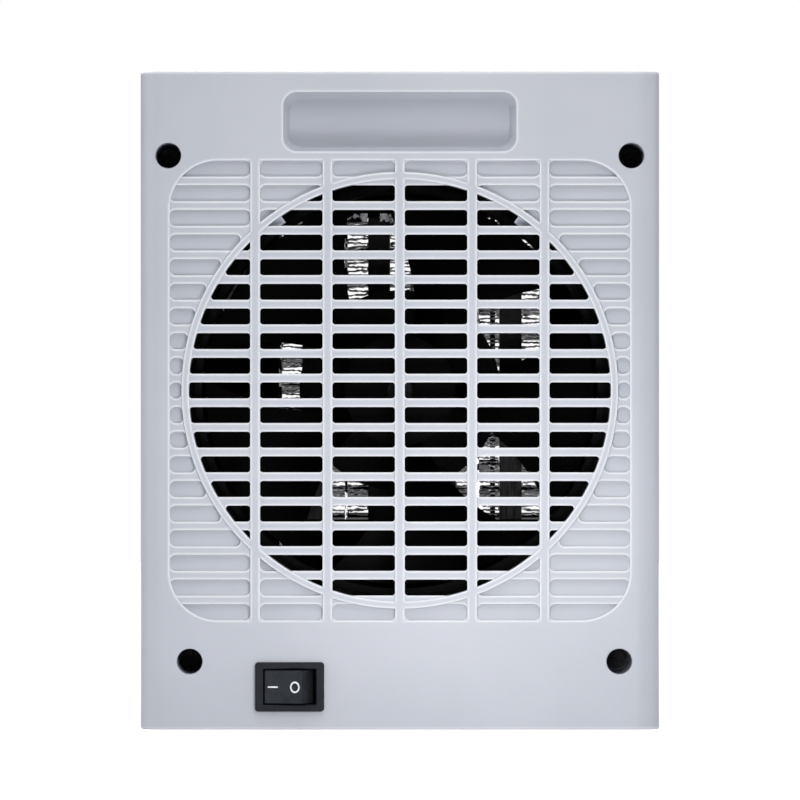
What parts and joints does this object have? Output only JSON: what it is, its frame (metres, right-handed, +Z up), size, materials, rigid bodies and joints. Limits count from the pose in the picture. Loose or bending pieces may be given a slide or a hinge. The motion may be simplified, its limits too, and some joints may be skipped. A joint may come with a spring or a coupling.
{
  "type": "fan heater",
  "caption": "Free-standing box fan heater with a louvred rear intake, rocker switch, axial fan, ceramic heater block and louvred front outlet",
  "frame": {"origin": "on the table, under the middle of the housing", "axes": "+Z up, the front outlet faces -Y, the rear intake grille and power switch face +Y, +X is to the right seen from the front"},
  "size_m": [0.158, 0.1337, 0.2],
  "materials": {
    "shell": "pale cool grey moulded plastic, satin",
    "black_plastic": "black moulded plastic",
    "fan_plastic": "black moulded plastic, slight sheen",
    "knob_plastic": "black satin plastic",
    "switch_plastic": "black switch plastic",
    "steel": "plated steel",
    "brass": "bare brass",
    "aluminium": "bare rolled aluminium",
    "heater_bar": "dark insulated aluminium tube",
    "ceramic": "unglazed ceramic",
    "magnet": "ferrite",
    "board": "coated circuit board",
    "rubber": "black rubber"
  },
  "bodies": {
    "housing": {"rear_shell": "shell", "front_shell": "shell", "outlet_frame": "black_plastic", "outlet_louvres": "black_plastic", "control_panel": "black_plastic", "fan_shroud": "black_plastic", "motor_can": "steel", "motor_end_cap": "black_plastic", "motor_magnets": "magnet", "motor_bushes": "brass", "rectifier_board": "board", "motor_screws": "steel", "shroud_screws": "steel", "heater_frame": "black_plastic", "heater_bars": "heater_bar", "ptc_stones": "ceramic", "heater_fins": "aluminium", "electrode_plates": "aluminium", "heater_end_caps": "black_plastic", "thermal_cutout": "steel", "thermal_fuse": "ceramic", "mode_switch": "black_plastic", "thermostat": "steel", "control_nuts": "steel", "rocker_housing": "switch_plastic", "rocker_terminals": "brass", "housing_screws": "steel", "tilt_switch": "black_plastic", "terminal_block": "ceramic", "cord_gland": "rubber", "foot_pads": "rubber"},
    "fan": {"fan_impeller": "fan_plastic", "motor_shaft": "steel", "motor_rotor": "steel", "shaft_nut": "steel"},
    "rocker": {"rocker": "switch_plastic"},
    "mode_knob": {"mode_knob": "knob_plastic", "mode_shaft": "steel"},
    "thermostat_knob": {"thermostat_knob": "knob_plastic", "thermostat_shaft": "steel"}
  },
  "joints": [
    {"name": "fan_spin", "type": "hinge", "parent": "housing", "child": "fan", "pos_m": [0, 0.031, 0.1031], "axis": [0, 1, 0], "continuous": true},
    {"name": "rocker_tilt", "type": "hinge", "parent": "housing", "child": "rocker", "pos_m": [0.0335, 0.053, 0.013], "axis": [0, 0, 1], "range_deg": [0, 28]},
    {"name": "mode_turn", "type": "hinge", "parent": "housing", "child": "mode_knob", "pos_m": [-0.034, -0.065, 0.0215], "axis": [0, 1, 0], "range_deg": [0, 180]},
    {"name": "thermostat_turn", "type": "hinge", "parent": "housing", "child": "thermostat_knob", "pos_m": [0.034, -0.065, 0.0215], "axis": [0, 1, 0], "range_deg": [0, 270]}
  ]
}
